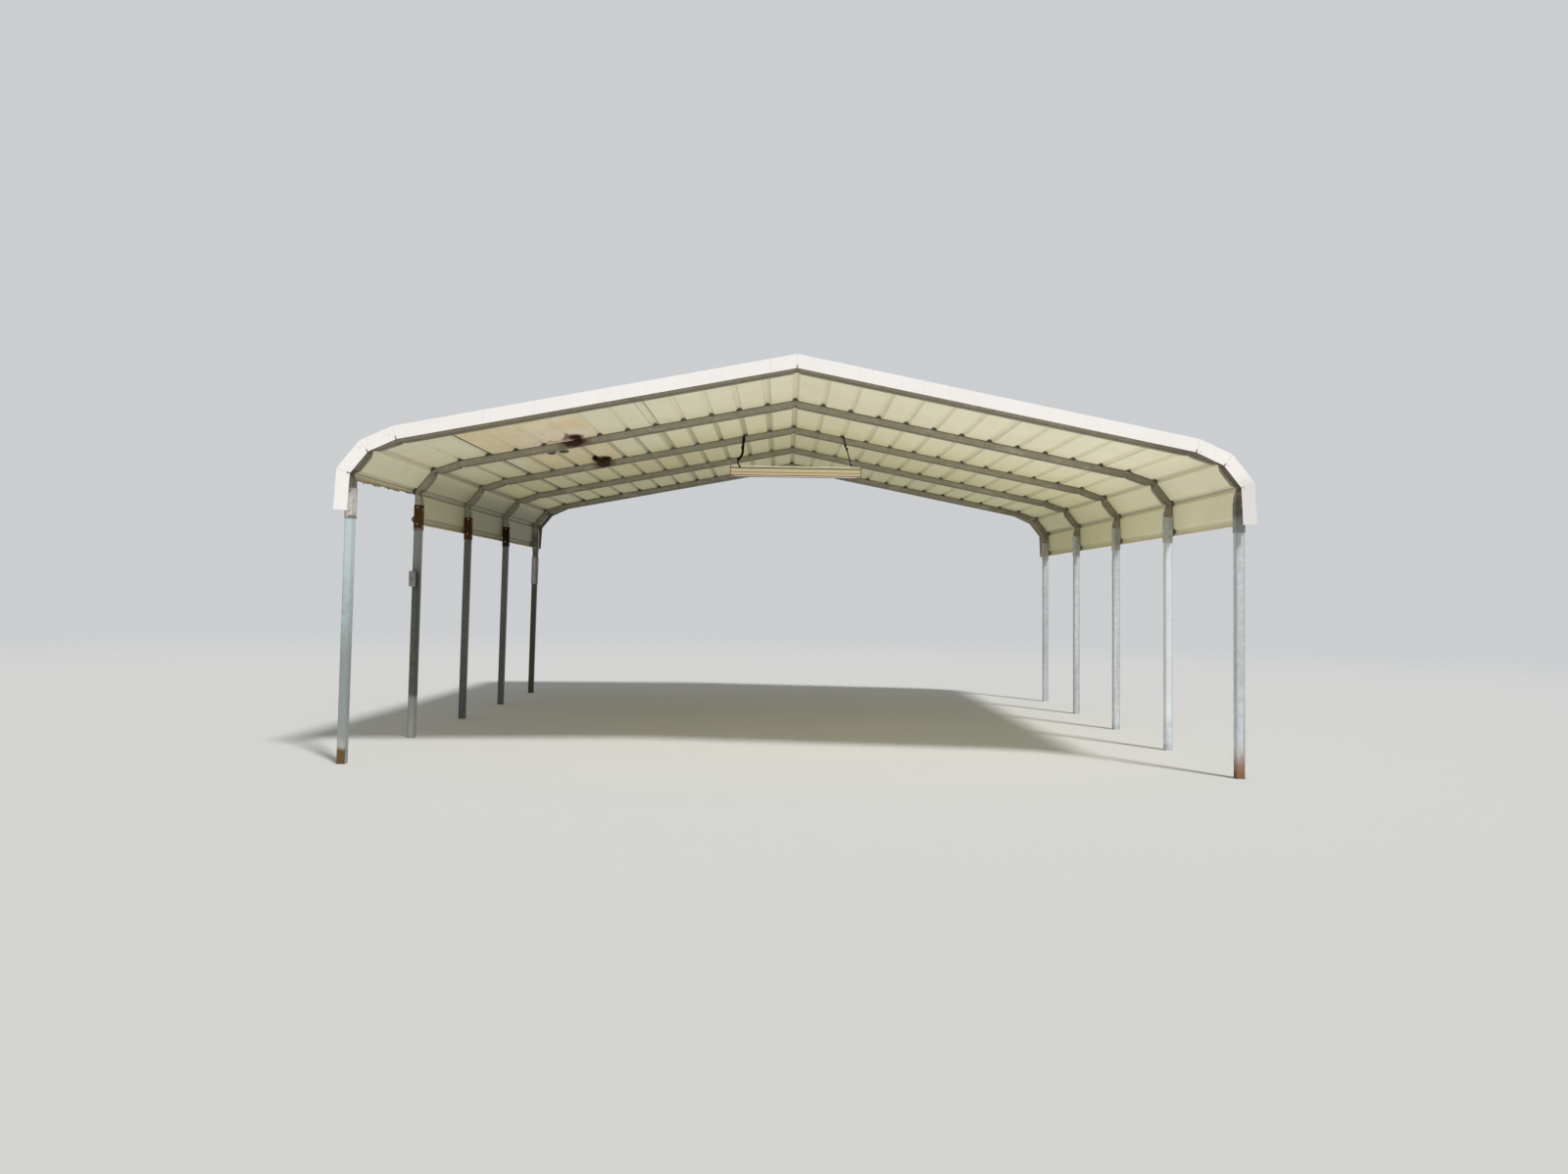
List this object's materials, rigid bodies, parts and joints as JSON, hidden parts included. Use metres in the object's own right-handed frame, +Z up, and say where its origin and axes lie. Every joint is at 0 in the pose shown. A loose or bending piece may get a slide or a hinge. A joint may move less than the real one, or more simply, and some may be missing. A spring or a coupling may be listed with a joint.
{
  "type": "carport",
  "caption": "Open metal carport: square-tube bows on posts under ribbed steel sheets folded down into short skirts, with white gable trim and a hanging shop light.",
  "frame": {"origin": "on the ground under the middle of the roof, centre of the bottom of the bounding box", "axes": "+Y runs along the ridge from the front gable to the rear, +X to the right seen from the front, +Z up"},
  "size_m": [6.1788, 6.404, 2.8119],
  "materials": {
    "zinc_post": "galvanised, dull",
    "zinc_bow": "galvanised, weathered to a warm grey",
    "zinc_sleeve": "galvanised, weathered",
    "rusted_sleeve": "bare steel, rusted dark brown",
    "roof_sheet": "factory paint, beige, chalked",
    "white_trim": "white paint, satin",
    "light_enamel": "cream enamel, satin",
    "lamp_glass": "white coated glass",
    "hanger_cord": "black cord",
    "outlet_box": "grey, weathered"
  },
  "bodies": {
    "root": {"bow_1": "zinc_bow", "bow_2": "zinc_bow", "bow_3": "zinc_bow", "bow_4": "zinc_bow", "bow_5": "zinc_bow", "hanger_left": "hanger_cord", "hanger_right": "hanger_cord", "lamp_front": "lamp_glass", "lamp_rear": "lamp_glass", "light_housing": "light_enamel", "outlet_box": "outlet_box", "post_left_1": "zinc_post", "post_left_2": "zinc_post", "post_left_3": "zinc_post", "post_left_4": "zinc_post", "post_left_5": "zinc_post", "post_right_1": "zinc_post", "post_right_2": "zinc_post", "post_right_3": "zinc_post", "post_right_4": "zinc_post", "post_right_5": "zinc_post", "roof_sheet_left_eave": "roof_sheet", "roof_sheet_left_skirt": "roof_sheet", "roof_sheet_left_slope": "roof_sheet", "roof_sheet_left_upper": "roof_sheet", "roof_sheet_ridge": "roof_sheet", "roof_sheet_right_skirt": "roof_sheet", "roof_sheet_right_slope": "roof_sheet", "roof_sheet_right_upper": "roof_sheet", "sleeve_left_1": "zinc_sleeve", "sleeve_left_2": "rusted_sleeve", "sleeve_left_3": "rusted_sleeve", "sleeve_left_4": "rusted_sleeve", "sleeve_left_5": "zinc_sleeve", "sleeve_right_1": "zinc_sleeve", "sleeve_right_2": "zinc_sleeve", "sleeve_right_3": "zinc_sleeve", "sleeve_right_4": "zinc_sleeve", "sleeve_right_5": "zinc_sleeve", "trim_front_left": "white_trim", "trim_front_peak": "white_trim", "trim_front_right": "white_trim", "trim_rear_left": "white_trim", "trim_rear_peak": "white_trim", "trim_rear_right": "white_trim"}
  },
  "joints": []
}
